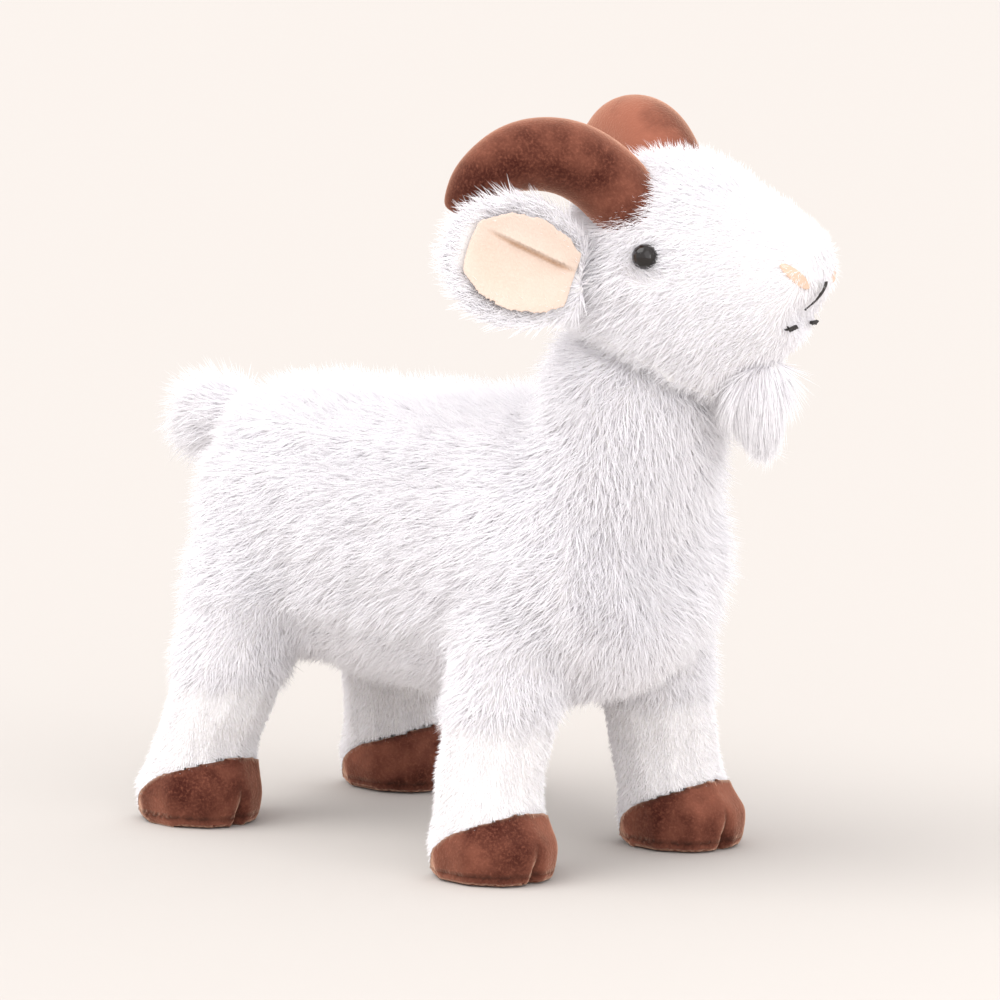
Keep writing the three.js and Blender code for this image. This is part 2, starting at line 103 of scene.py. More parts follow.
class GoatCoatSettings(bpy.types.PropertyGroup):
    """The pile of the coat."""

    pile: bpy.props.FloatProperty(
        name="Coat pile", description="Length of the hair on the trunk",
        default=12.5 * MM, unit="LENGTH")
    face_pile: bpy.props.FloatProperty(
        name="Face pile", description="Length of the hair on the muzzle",
        default=5.5 * MM, unit="LENGTH")
    sleeve_pile: bpy.props.FloatProperty(
        name="Sleeve pile", description="Length of the short pile on the lower legs",
        default=3.2 * MM, unit="LENGTH")
    hair_width: bpy.props.FloatProperty(
        name="Hair width", description="Width of a lock of hair at its root",
        default=0.46 * MM, unit="LENGTH")
    density: bpy.props.FloatProperty(
        name="Hair density", description="Locks of hair on each square metre of coat",
        default=950000.0, min=1000.0)
    colour: bpy.props.FloatVectorProperty(
        name="Coat colour", description="Colour of the coat at the tips",
        subtype="COLOR", default=(0.978, 0.968, 0.990))
    # Painted shade: the darker colour at the roots stands in for the shade deep in the pile.
    root_shade_colour: bpy.props.FloatVectorProperty(
        name="Root colour", description="Colour of the coat at the roots",
        subtype="COLOR", default=(0.945, 0.925, 0.955))


class GoatVelourSettings(bpy.types.PropertyGroup):
    """The brown velour and the peach lining."""

    brown: bpy.props.FloatVectorProperty(
        name="Velour colour", description="Colour of the horns and hooves",
        subtype="COLOR", default=(0.045, 0.008, 0.005))
    # The light colour is also drawn as painted sheen at grazing angles and on the horns' inner sides.
    brown_light: bpy.props.FloatVectorProperty(
        name="Velour light colour", description="Colour where the nap lies towards the light",
        subtype="COLOR", default=(0.330, 0.118, 0.074))
    peach: bpy.props.FloatVectorProperty(
        name="Lining colour", description="Colour of the ear linings and nostrils",
        subtype="COLOR", default=(0.73, 0.575, 0.475))


class GoatStudioSettings(bpy.types.PropertyGroup):
    """The camera and the lights."""

    azimuth: bpy.props.FloatProperty(
        name="Camera azimuth", description="Angle of the camera round the goat",
        subtype="ANGLE", default=math.radians(47))
    elevation: bpy.props.FloatProperty(
        name="Camera elevation", description="Angle of the camera above the floor",
        subtype="ANGLE", default=math.radians(9.3))
    distance: bpy.props.FloatProperty(
        name="Camera distance", description="Distance from the camera to the goat",
        unit="LENGTH", default=4.768)
    lens: bpy.props.FloatProperty(
        name="Lens", description="Focal length in millimetres",
        unit="CAMERA", default=400.0)
    sky: bpy.props.FloatProperty(
        name="Sky light", description="Strength of the even light from all round",
        default=1.24, min=0.0)
    key: bpy.props.FloatProperty(
        name="Key light", description="Strength of the soft light from above",
        default=1.40, min=0.0)
    fill: bpy.props.FloatProperty(
        name="Fill light", description="Strength of the soft light on the face and chest",
        default=0.70, min=0.0)
    floor_colour: bpy.props.FloatVectorProperty(
        name="Floor colour", description="Colour of the floor and the light round it",
        subtype="COLOR", default=(0.573, 0.543, 0.513))


def coat_settings():
    """The coat settings of the open scene."""
    return bpy.context.scene.goat_coat


def velour_settings():
    """The velour settings of the open scene."""
    return bpy.context.scene.goat_velour


# ---- Object helpers ----


def select_only(*objects):
    """Leaves just these objects selected, with the first one active."""
    if bpy.context.object and bpy.context.object.mode != "OBJECT":
        bpy.ops.object.mode_set(mode="OBJECT")
    bpy.ops.object.select_all(action="DESELECT")
    for ob in objects:
        ob.select_set(True)
    bpy.context.view_layer.objects.active = objects[0]


def new_object(name, mesh):
    """Links a mesh to the scene as an object at the origin."""
    ob = bpy.data.objects.new(name, mesh)
    bpy.context.scene.collection.objects.link(ob)
    return ob


def apply_modifier(ob, kind, **values):
    """Adds a modifier with these values and applies it."""
    modifier = ob.modifiers.new(kind.lower(), kind)
    for key, value in values.items():
        setattr(modifier, key, value)
    select_only(ob)
    bpy.ops.object.modifier_apply(modifier=modifier.name)


def merged_copy(name, nodes):
    """One object from copies of these CAD nodes, with each node's loose corners merged."""
    bm = bmesh.new()
    for node in nodes:
        bm.from_mesh(frame["nodes"][node].data)
    bmesh.ops.remove_doubles(bm, verts=bm.verts, dist=MERGE_DISTANCE)
    mesh = bpy.data.meshes.new(name)
    bm.to_mesh(mesh)
    bm.free()
    return new_object(name, mesh)


def keep_largest_shell(ob):
    """Deletes every separate shell but the one with the most faces."""
    bm = bmesh.new()
    bm.from_mesh(ob.data)
    unseen = set(bm.faces)
    shells = []
    while unseen:
        shell = {unseen.pop()}
        edge_of_shell = list(shell)
        while edge_of_shell:
            face = edge_of_shell.pop()
            for edge in face.edges:
                for other in edge.link_faces:
                    if other in unseen:
                        unseen.remove(other)
                        shell.add(other)
                        edge_of_shell.append(other)
        shells.append(shell)
    largest = max(shells, key=len)
    spare = [face for shell in shells if shell is not largest for face in shell]
    bmesh.ops.delete(bm, geom=spare, context="FACES")
    bm.to_mesh(ob.data)
    bm.free()


def skin_over(name, nodes, voxel, smoothing):
    """A smooth closed skin over these CAD nodes and everything between them."""
    ob = merged_copy(name, nodes)
    apply_modifier(ob, "REMESH", mode="VOXEL", voxel_size=voxel)
    keep_largest_shell(ob)
    apply_modifier(ob, "SMOOTH", factor=0.5, iterations=smoothing)
    return ob


def shifted(ob, move_of):
    """Moves each corner of a mesh by what `move_of` gives for it."""
    moves = [(v, move_of(v)) for v in ob.data.vertices]
    for vertex, move in moves:
        vertex.co += move
    ob.data.update()


def inset(ob, depth_at):
    """Moves each corner of a skin inward by the depth that `depth_at` gives for its place."""
    shifted(ob, lambda v: -v.normal * depth_at(v.co))


def part_of(ob, name, keep):
    """A copy of a skin with only the faces for which `keep` is true of their middle and normal."""
    bm = bmesh.new()
    bm.from_mesh(ob.data)
    bm.normal_update()
    spare = [f for f in bm.faces if not keep(f.calc_center_median(), f.normal)]
    bmesh.ops.delete(bm, geom=spare, context="FACES")
    mesh = bpy.data.meshes.new(name)
    bm.to_mesh(mesh)
    bm.free()
    return new_object(name, mesh)


def joined(name, objects):
    """Joins objects into the first and names it."""
    select_only(*objects)
    bpy.ops.object.join()
    objects[0].name = name
    objects[0].data.name = name
    return objects[0]


def smooth_shaded(ob):
    """Shades every face smooth."""
    select_only(ob)
    bpy.ops.object.shade_smooth()


def bvh_of(ob):
    """A search tree over an object's faces."""
    bm = bmesh.new()
    bm.from_mesh(ob.data)
    bmesh.ops.triangulate(bm, faces=bm.faces)
    tree = BVHTree.FromBMesh(bm)
    bm.free()
    return tree


def finish_piece(ob, body, slot, *nodes):
    """Ties a finished piece to its body and the CAD nodes it stands for; its record slot is not used."""
    if nodes:
        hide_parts(*nodes)
    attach(ob, body)


# ---- Hair ----

SWIRL_SEED = 5


def hair_strand():
    """One lock of hair: a thin three-sided spike, 1 long and 1 wide."""
    existing = bpy.data.objects.get("hair_strand")
    if existing:
        return existing
    bpy.ops.object.select_all(action="DESELECT")
    bpy.ops.mesh.primitive_cone_add(
        vertices=3, radius1=0.58, radius2=0, depth=1, location=(0, 0, 0.5), end_fill_type="NGON")
    strand = bpy.context.object
    strand.name = "hair_strand"
    bpy.ops.object.transform_apply(location=True, rotation=True, scale=True)
    tip = strand.data.attributes.new("tip", "FLOAT", "POINT")
    for vertex in strand.data.vertices:
        tip.data[vertex.index].value = vertex.co.z
    while strand.data.uv_layers:
        strand.data.uv_layers.remove(strand.data.uv_layers[0])
    return strand


def store(ob, name, kind, values):
    """Writes one value for each corner of a mesh as a named attribute."""
    layer = ob.data.attributes.get(name) or ob.data.attributes.new(name, kind, "POINT")
    key = "vector" if kind == "FLOAT_VECTOR" else "value"
    flat = [n for value in values for n in value] if key == "vector" else list(values)
    layer.data.foreach_set(key, flat)


class TreeBuilder:
    """Adds nodes to a node tree and links them in one call."""

    def __init__(self, tree):
        self.tree = tree

    def add(self, kind, inputs=None, **values):
        """Adds a node, sets its values, and links or fills its inputs by name or number."""
        node = self.tree.nodes.new(kind)
        for key, value in values.items():
            setattr(node, key, value)
        for key, value in (inputs or {}).items():
            socket = node.inputs[key]
            if isinstance(value, bpy.types.NodeSocket):
                self.tree.links.new(value, socket)
            else:
                socket.default_value = value
        return node

    def link(self, source, target):
        """Links two sockets."""
        self.tree.links.new(source, target)


def hair_nodes(strand, density, width, seed):
    """The node tree that grows hair along the skin's `flow`, `pile` and `cover` attributes."""
    tree = bpy.data.node_groups.new("grow_hair", "GeometryNodeTree")
    tree.interface.new_socket("Geometry", in_out="INPUT", socket_type="NodeSocketGeometry")
    tree.interface.new_socket("Geometry", in_out="OUTPUT", socket_type="NodeSocketGeometry")
    b = TreeBuilder(tree)
    skin = b.add("NodeGroupInput").outputs["Geometry"]

    def named(kind, name):
        node = b.add("GeometryNodeInputNamedAttribute", data_type=kind)
        node.inputs["Name"].default_value = name
        return node.outputs["Attribute"]

    cover = b.add("ShaderNodeMath", {0: named("FLOAT", "cover"), 1: density}, operation="MULTIPLY")
    scatter = b.add(
        "GeometryNodeDistributePointsOnFaces",
        {"Mesh": skin, "Density": cover.outputs[0], "Seed": seed},
        distribute_method="RANDOM")
    jitter = b.add(
        "FunctionNodeRandomValue",
        {"Min": (-1, -1, -1), "Max": (1, 1, 1), "Seed": seed + 1},
        data_type="FLOAT_VECTOR")
    messy = b.add(
        "ShaderNodeVectorMath",
        {0: jitter.outputs["Value"], "Scale": named("FLOAT", "mess")},
        operation="SCALE")
    heading = b.add(
        "ShaderNodeVectorMath",
        {0: named("FLOAT_VECTOR", "flow"), 1: messy.outputs[0]},
        operation="ADD")
    turned = b.add(
        "FunctionNodeAlignRotationToVector", {"Vector": heading.outputs[0]}, axis="Z")
    length = b.add(
        "FunctionNodeRandomValue", {2: 0.6, 3: 1.15, "Seed": seed + 2}, data_type="FLOAT")
    reach = b.add(
        "ShaderNodeMath",
        {0: length.outputs[1], 1: named("FLOAT", "pile")},
        operation="MULTIPLY")
    size = b.add("ShaderNodeCombineXYZ", {0: width, 1: width, 2: reach.outputs[0]})
    strand_info = b.add("GeometryNodeObjectInfo", {"Object": strand})
    placed = b.add("GeometryNodeInstanceOnPoints", {
        "Points": scatter.outputs["Points"],
        "Instance": strand_info.outputs["Geometry"],
        "Rotation": turned.outputs[0],
        "Scale": size.outputs[0],
    })
    tone = b.add("FunctionNodeRandomValue", {2: 0.0, 3: 1.0, "Seed": seed + 3}, data_type="FLOAT")
    toned = b.add(
        "GeometryNodeStoreNamedAttribute",
        {"Geometry": placed.outputs[0], "Value": tone.outputs[1]},
        data_type="FLOAT", domain="INSTANCE")
    toned.inputs["Name"].default_value = "tone"
    real = b.add("GeometryNodeRealizeInstances", {"Geometry": toned.outputs[0]})
    out = b.add("NodeGroupOutput")
    b.link(real.outputs[0], out.inputs["Geometry"])
    return tree


def grow_hair(skin, name, flow, pile, cover, mess=0.42, density=None, width=None, seed=1):
    """Hair over a skin, as a mesh. `flow`, `pile` and `cover` are given a place and a normal."""
    settings = coat_settings()
    density = (density or settings.density) * 1.0
    seed_set(SWIRL_SEED)
    root = new_object(name, skin.data.copy())
    places = [(v.co.copy(), v.normal.copy()) for v in root.data.vertices]
    store(root, "flow", "FLOAT_VECTOR", [flow(p, n) for p, n in places])
    store(root, "pile", "FLOAT", [pile(p, n) for p, n in places])
    store(root, "cover", "FLOAT", [cover(p, n) for p, n in places])
    store(root, "mess", "FLOAT", [mess] * len(places))
    modifier = root.modifiers.new("hair", "NODES")
    modifier.node_group = hair_nodes(hair_strand(), density, width or settings.hair_width, seed)
    select_only(root)
    bpy.ops.object.modifier_apply(modifier=modifier.name)
    return root


def combed(direction, normal, lift, place, swirl=0.4, clump=0.55):
    """A hair's heading: along the skin, lifted off it, with swirls and locks at two scales."""
    along = direction - normal * direction.dot(normal)
    if along.length < 1e-3:
        along = direction.copy()
    along.normalize()
    wave = noise_vector(place * 28) * swirl + noise_vector(place * 120) * clump
    return (along + normal * lift + wave).normalized()


# ---- Materials ----


def new_material(name):
    """A material with one Principled shader, as (material, builder, shader)."""
    material = bpy.data.materials.new(name)
    material.use_nodes = True
    tree = material.node_tree
    tree.nodes.clear()
    b = TreeBuilder(tree)
    shader = b.add("ShaderNodeBsdfPrincipled")
    out = b.add("ShaderNodeOutputMaterial")
    b.link(shader.outputs[0], out.inputs[0])
    return material, b, shader


def nap_group():
    """A shader group for short nap: brushed patches, fine fibres and a bump height."""
    existing = bpy.data.node_groups.get("nap")
    if existing:
        return existing
    tree = bpy.data.node_groups.new("nap", "ShaderNodeTree")
    face = tree.interface
    scales = (("Patch Scale", 1.0, 500.0, 45.0), ("Fibre Scale", 10.0, 9000.0, 1000.0))
    for name, low, high, default in scales:
        socket = face.new_socket(name, in_out="INPUT", socket_type="NodeSocketFloat")
        socket.min_value = low
        socket.max_value = high
        socket.default_value = default
    for name in ("Patch", "Fibre", "Height"):
        face.new_socket(name, in_out="OUTPUT", socket_type="NodeSocketFloat")
    b = TreeBuilder(tree)
    given = b.add("NodeGroupInput")
    place = b.add("ShaderNodeTexCoord").outputs["Object"]
    patch = b.add("ShaderNodeTexNoise", {
        "Vector": place, "Scale": given.outputs["Patch Scale"], "Detail": 3.0, "Roughness": 0.6})
    fibre = b.add("ShaderNodeTexNoise", {
        "Vector": place, "Scale": given.outputs["Fibre Scale"], "Detail": 2.0, "Roughness": 0.7})
    height = b.add("ShaderNodeMath", {
        0: patch.outputs["Fac"], 1: 0.6, 2: fibre.outputs["Fac"]}, operation="MULTIPLY_ADD")
    out = b.add("NodeGroupOutput")
    b.link(patch.outputs["Fac"], out.inputs["Patch"])
    b.link(fibre.outputs["Fac"], out.inputs["Fibre"])
    b.link(height.outputs[0], out.inputs["Height"])
    return tree


def fill_inputs(shader, values):
    """Sets unlinked inputs of a shader by name."""
    for name, value in values.items():
        shader.inputs[name].default_value = value


def bumped(b, shader, height, strength, distance):
    """Gives a shader a bump from a height."""
    bump = b.add("ShaderNodeBump", {"Height": height, "Strength": strength, "Distance": distance})
    b.link(bump.outputs[0], shader.inputs["Normal"])


def mixed(b, share, first, second):
    """The output of a colour mix by `share`."""
    return b.add("ShaderNodeMix", {0: share, 6: first, 7: second}, data_type="RGBA").outputs[2]


def rgba(colour, gain=1.0):
    """A colour with full alpha."""
    return (colour[0] * gain, colour[1] * gain, colour[2] * gain, 1.0)


def ranged(b, value, low, high):
    """A value stretched so that low gives 0 and high gives 1."""
    node = b.add("ShaderNodeMapRange", {"Value": value, "From Min": low, "From Max": high})
    return node.outputs["Result"]


def hair_material(name, tip_colour, root_shade_colour):
    """White hair: darker at the roots as painted shade, with each lock a shade of its own."""
    material, b, shader = new_material(name)
    tip = b.add("ShaderNodeAttribute", attribute_name="tip").outputs["Fac"]
    tone = b.add("ShaderNodeAttribute", attribute_name="tone").outputs["Fac"]
    # Painted shade: the colour runs from the darker root colour at the roots to the tip colour.
    depth = ranged(b, tip, 0.0, 0.75)
    colour = mixed(b, depth, rgba(root_shade_colour), rgba(tip_colour))
    shaded = mixed(b, ranged(b, tone, 0.72, 1.6), colour, rgba(tip_colour, 0.86))
    b.link(shaded, shader.inputs["Base Color"])
    fill_inputs(shader, {
        "Roughness": 0.8, "Specular IOR Level": 0.12, "Sheen Weight": 0.2, "Sheen Roughness": 0.5})
    return material


def backing_material(name, colour):
    """The knitted cloth that the pile grows from."""
    material, b, shader = new_material(name)
    nap = b.add("ShaderNodeGroup", node_tree=nap_group())
    fill_inputs(nap, {"Patch Scale": 60, "Fibre Scale": 1500})
    shade = mixed(b, ranged(b, nap.outputs["Fibre"], 0.3, 0.7), rgba(colour, 0.84), rgba(colour))
    b.link(shade, shader.inputs["Base Color"])
    bumped(b, shader, nap.outputs["Height"], 0.5, 0.5 * MM)
    fill_inputs(shader, {"Roughness": 0.95, "Specular IOR Level": 0.1})
    return material


def velour_material(name, dark, light, sheen, seam_and_crease_shade_colour):
    """Velour: a short nap brushed in patches, with a soft sheen, painted sheen that lightens it at grazing
    angles and on sides marked for it, darker seams and painted shade in creases.
    """
    material, b, shader = new_material(name)
    nap = b.add("ShaderNodeGroup", node_tree=nap_group())
    fill_inputs(nap, {"Patch Scale": 38, "Fibre Scale": 850})
    patch = ranged(b, nap.outputs["Patch"], 0.36, 0.66)
    brush = b.add("ShaderNodeAttribute", attribute_name="brush").outputs["Fac"]
    # Painted sheen: lighter at grazing angles and on the sides that the attribute above marks.
    facing = b.add("ShaderNodeLayerWeight", {"Blend": 0.35}).outputs["Facing"]
    painted_sheen = b.add("ShaderNodeMath", {0: facing, 1: 0.7, 2: brush}, operation="MULTIPLY_ADD")
    share = b.add("ShaderNodeMath", {0: patch, 1: 0.55, 2: painted_sheen.outputs[0]}, operation="MULTIPLY_ADD")
    share.use_clamp = True
    patches_and_sheen = mixed(b, share.outputs[0], rgba(dark), rgba(light))
    fibre = ranged(b, nap.outputs["Fibre"], 0.35, 0.75)
    flecked = mixed(b, fibre, patches_and_sheen, rgba(light, 1.15))
    blend = b.add("ShaderNodeMath", {0: fibre, 1: 0.4}, operation="MULTIPLY")
    coloured = mixed(b, blend.outputs[0], patches_and_sheen, flecked)
    # Darker along real seams, and painted shade in the hooves' clefts and under the ear lining's fold.
    seam = b.add("ShaderNodeAttribute", attribute_name="seam").outputs["Fac"]
    seamed_and_crease_shaded = mixed(b, seam, coloured, rgba(seam_and_crease_shade_colour))
    b.link(seamed_and_crease_shaded, shader.inputs["Base Color"])
    groove = b.add("ShaderNodeMath", {0: seam, 1: -2.5, 2: nap.outputs["Height"]}, operation="MULTIPLY_ADD")
    bumped(b, shader, groove.outputs[0], 0.55, 0.7 * MM)
    fill_inputs(shader, {
        "Roughness": 0.9, "Specular IOR Level": 0.12, "Sheen Weight": sheen,
        "Sheen Roughness": 0.35, "Sheen Tint": rgba((0.95, 0.62, 0.45))})
    return material


def eye_material():
    """Glossy black plastic with a faint brown depth."""
    material, b, shader = new_material("eye_plastic")
    place = b.add("ShaderNodeTexCoord").outputs["Object"]
    cloud = b.add("ShaderNodeTexNoise", {"Vector": place, "Scale": 260.0, "Detail": 2.0})
    shade = mixed(b, cloud.outputs["Fac"], rgba((0.004, 0.003, 0.003)), rgba((0.014, 0.009, 0.007)))
    b.link(shade, shader.inputs["Base Color"])
    fill_inputs(shader, {"Roughness": 0.05})
    return material


def thread_material():
    """Twisted dark cotton thread."""
    material, b, shader = new_material("dark_thread")
    place = b.add("ShaderNodeTexCoord").outputs["Object"]
    twist = b.add("ShaderNodeTexWave", {"Vector": place, "Scale": 900.0, "Distortion": 3.0})
    shade = mixed(b, twist.outputs["Fac"], rgba((0.012, 0.010, 0.010)), rgba((0.05, 0.042, 0.04)))
    b.link(shade, shader.inputs["Base Color"])
    bumped(b, shader, twist.outputs["Fac"], 0.6, 0.2 * MM)
    fill_inputs(shader, {"Roughness": 0.8})
    return material


def fill_material(name, colour):
    """Loose polyester fibre, or plain moulded plastic behind the cloth."""
    material, b, shader = new_material(name)
    place = b.add("ShaderNodeTexCoord").outputs["Object"]
    wool = b.add("ShaderNodeTexNoise", {"Vector": place, "Scale": 420.0, "Detail": 5.0, "Roughness": 0.7})
    shade = mixed(b, wool.outputs["Fac"], rgba(colour, 0.8), rgba(colour))
    b.link(shade, shader.inputs["Base Color"])
    bumped(b, shader, wool.outputs["Fac"], 0.4, 1 * MM)
    fill_inputs(shader, {"Roughness": 0.9})
    return material


MAKERS = {
    "hair": lambda: hair_material("white_hair", coat_settings().colour, coat_settings().root_shade_colour),
    # The second, darker colour is painted shade at the roots of the short pile.
    "short_hair": lambda: hair_material(
        "short_hair", (0.975, 0.965, 0.985), (0.92, 0.895, 0.90)),
    "backing": lambda: backing_material("coat_backing", (0.95, 0.935, 0.93)),
    # The last colour is drawn along seams and as painted shade in the hooves' clefts.
    "velour": lambda: velour_material(
        "brown_velour", velour_settings().brown, velour_settings().brown_light, 0.9,
        (0.030, 0.008, 0.005)),
    "nostril": lambda: velour_material(
        "nostril_peach", (0.72, 0.50, 0.38), (0.80, 0.60, 0.47), 0.1, (0.6, 0.3, 0.2)),
    # The last colour is painted shade along the lining's fold.
    "lining": lambda: velour_material(
        "peach_lining", velour_settings().peach, (0.79, 0.655, 0.57), 0.1, (0.66, 0.42, 0.27)),
    "eye": eye_material,
    "thread": thread_material,
    "fill": lambda: fill_material("fibre_fill", (0.9, 0.9, 0.9)),
    "washer": lambda: fill_material("washer_plastic", (0.8, 0.8, 0.8)),
}


def material(name):
    """The material of that name, made the first time it is asked for."""
    key = f"goat_{name}"
    if key not in bpy.data.materials:
        made = MAKERS[name]()
        made.name = key
    return bpy.data.materials[key]


def dress(ob, name):
    """Gives a whole object one material."""
    ob.data.materials.clear()
    ob.data.materials.append(material(name))


# ---- Skins shared by several pieces ----

HEM = {"front": 66 * MM, "hind": 62 * MM}
COAT_INSET = 3.5 * MM
BACK_INSET_SHARE = 0.5
BACK_HEIGHT = 0.17
BACK_FRONT = 0.05
BELLY_LOW = 0.055
THIGH_TOP = 0.118
THIGH_ASIDE = 0.022
THIGH_REACH = 0.052
SKINS = {}

# The fold of the mouth and the short pile of the face, in millimetres in the head's frame.
FOLD_DEPTH = 8.5
FOLD_HEIGHT = 245
FOLD_SPREAD = 8
FOLD_HALF_WIDTH = 17
FOLD_START = 52
FOLD_RUN = 16
FACE_LENGTH = 62
FACE_INSET_SHARE = 0.42
CROWN_PILE_SHARE = 0.8


def leg_frame(leg):
    """The middle of a leg's foot, from its sole, and the end of the goat that it is at."""
    low, high = node_box(f"hoof_sole_{leg}")
    return (low + high) / 2, leg.split("_")[0]


def nearest_leg(place):
    """The name of the leg whose foot is nearest to a place, seen from above."""
    return min(LEGS, key=lambda leg: (leg_frame(leg)[0].xy - place.xy).length)


def on_back(place):
    """True on the upper part of the trunk behind the neck."""
    return place.z > BACK_HEIGHT and place.x < BACK_FRONT


def trunk_skin():
    """The skin of the trunk, neck and thighs, at the roots of the coat."""
    if "trunk" not in SKINS:
        nodes = ["torso_coat", "torso_stuffing", "neck_stuffing"]
        nodes += [f"{part}_{leg}" for leg in LEGS for part in ("thigh_coat", "leg_stuffing", "leg_sleeve")]
        skin = skin_over("trunk_skin", nodes, 3 * MM, 14)
        inset(skin, lambda p: COAT_INSET * (BACK_INSET_SHARE if on_back(p) else 1))
        smooth_shaded(skin)
        SKINS["trunk"] = skin
    return SKINS["trunk"]


def head_skin():
    """The skin of the head, at the roots of its pile."""
    if "head" not in SKINS:
        skin = skin_over("head_skin", ["head_coat", "head_stuffing"], 2.2 * MM, 14)
        folded(skin)
        inset(skin, lambda p: face_pile(p) * FACE_INSET_SHARE)
        smooth_shaded(skin)
        SKINS["head"] = skin
    return SKINS["head"]


def head_place(place):
    """A place in the frame, in millimetres in the head's own frame."""
    return HEAD_FRAME.inverted() @ place / MM


def muzzle_fold(place):
    """How the mouth's fold draws a place on the muzzle inward."""
    local = head_place(place)
    across = math.exp(-(local.y / FOLD_HALF_WIDTH) ** 2)
    ahead = held((local.x - FOLD_START) / FOLD_RUN)
    fold = FOLD_DEPTH * math.exp(-((local.z - FOLD_HEIGHT) / FOLD_SPREAD) ** 2)
    return HEAD_FORWARD * (-fold * across * ahead * MM)


def folded(ob):
    """Draws an object on the muzzle in with the fold of the mouth."""
    shifted(ob, lambda v: muzzle_fold(v.co))


def face_pile(place):
    """The pile's length on the head: short on the muzzle, longer towards the neck and crown."""
    settings = coat_settings()
    share = held((FACE_LENGTH - head_place(place).x) / FACE_LENGTH)
    return settings.face_pile + (settings.pile * CROWN_PILE_SHARE - settings.face_pile) * share


# ---- Pieces ----

COAT_LIFT = 0.85
SPINE_HALF_WIDTH = 0.035
LEG_COAT_TOP = 0.1
LEG_PILE_SHARE = 0.72
DOME_RADIUS = 44 * MM
DOME_RISE = 32 * MM
BACKING_THICKNESS = 1.2 * MM


def is_thigh(place):
    """True where the coat belongs to a leg rather than to the trunk."""
    foot, _ = leg_frame(nearest_leg(place))
    aside = abs(place.y - NECK.y)
    return place.z < THIGH_TOP and aside > THIGH_ASIDE and abs(place.x - foot.x) < THIGH_REACH


def coat_flow(place, normal):
    """Which way the coat lies on the trunk, neck and legs."""
    aside = place.y - NECK.y
    if is_thigh(place) and place.z < LEG_COAT_TOP:
        return combed(Vector((-0.18, 0.10 * math.copysign(1, aside), -1)), normal, COAT_LIFT, place)
    off_spine = min(1, abs(aside) / SPINE_HALF_WIDTH)
    back = Vector((-0.8, 0.3 * math.copysign(off_spine, aside), -0.65 * off_spine))
    neck = Vector((-0.25, 0, -1))
    share = held((place.x - 0.02) / 0.06) * held((place.z - 0.12) / 0.05)
    return combed(back.lerp(neck, share), normal, COAT_LIFT, place)


def coat_pile(place, normal):
    """The pile's length on the trunk and legs."""
    return coat_settings().pile * (LEG_PILE_SHARE if place.z < LEG_COAT_TOP else 1)


def trunk_cover(place, normal):
    """No hair grows on the dome of the neck, where the head covers it."""
    on_dome = (place - NECK).length < DOME_RADIUS and place.z > NECK.z + DOME_RISE
    return 0.0 if on_dome else 1.0


def finish_fur(cloth, hair, body, node, kind="hair", slot="long_pile"):
    """Makes one finished piece of a cloth and the hair that grows on it."""
    dress(hair, kind)
    dress(cloth, "backing")
    piece = joined(cloth.name, [cloth, hair])
    finish_piece(piece, body, slot, node)
    return piece


def finish_coat(cloth, hair, body, node):
    """Gives an open cloth its thickness and makes a coat of it and its hair."""
    apply_modifier(cloth, "SOLIDIFY", thickness=BACKING_THICKNESS, offset=-1)
    finish_fur(cloth, hair, body, node)


def build_trunk():
    """The coat of the trunk and neck."""
    cloth = part_of(trunk_skin(), "torso_fur", lambda p, n: not is_thigh(p) and p.z > BELLY_LOW)
    hair = grow_hair(cloth, "torso_hair", coat_flow, coat_pile, trunk_cover, seed=11)
    finish_coat(cloth, hair, "torso", "torso_coat")


def build_thighs():
    """The coat of each shoulder and thigh, down to its hem."""
    for index, leg in enumerate(LEGS):
        _, end = leg_frame(leg)

        def keep(place, normal, leg=leg, end=end):
            return is_thigh(place) and place.z > HEM[end] and nearest_leg(place) == leg

        cloth = part_of(trunk_skin(), f"thigh_fur_{leg}", keep)
        hair = grow_hair(
            cloth, f"thigh_hair_{leg}", coat_flow, coat_pile, lambda p, n: 1.0, seed=31 + index)
        finish_coat(cloth, hair, "torso", f"thigh_coat_{leg}")


FLOOR_CLEARANCE = 0.3 * MM
CAP_HEIGHT = 29 * MM
CAP_LENGTH = 50 * MM
CAP_ARCH = 4.5 * MM
CAP_THICKNESS = 1.6 * MM
SOLE_THICKNESS = 1.5 * MM
SOLE_TOP = 2.6 * MM
SLEEVE_LAP = 8 * MM
SLEEVE_INSET = 1.4 * MM
TOE_REACH = 27 * MM
FOOT_HALF_WIDTH = 22 * MM
SEAM_HEIGHT = 4.2 * MM
SEAM_HALF_WIDTH = 1.3 * MM
GATHER_DEPTH = 0.6 * MM
GATHERS = 1500
CLEFT_START = 15 * MM
CLEFT_TOP = 20


def cap_edge(place, foot):
    """How far a place lies above the arched top edge of a hoof cap."""
    behind = max(0, foot.x + TOE_REACH - place.x) / CAP_LENGTH
    aside = (place.y - foot.y) / FOOT_HALF_WIDTH
    return place.z - CAP_HEIGHT * (1 - behind ** 3.4) + CAP_ARCH * aside ** 2


def evened(ob, foot):
    """Draws the ragged edge of a cut skin onto the edge line of the hoof cap."""
    bm = bmesh.new()
    bm.from_mesh(ob.data)
    for vertex in bm.verts:
        above = cap_edge(vertex.co, foot)
        if vertex.is_boundary and abs(above) < 3 * MM:
            vertex.co.z -= above * 0.8
    bm.to_mesh(ob.data)
    bm.free()


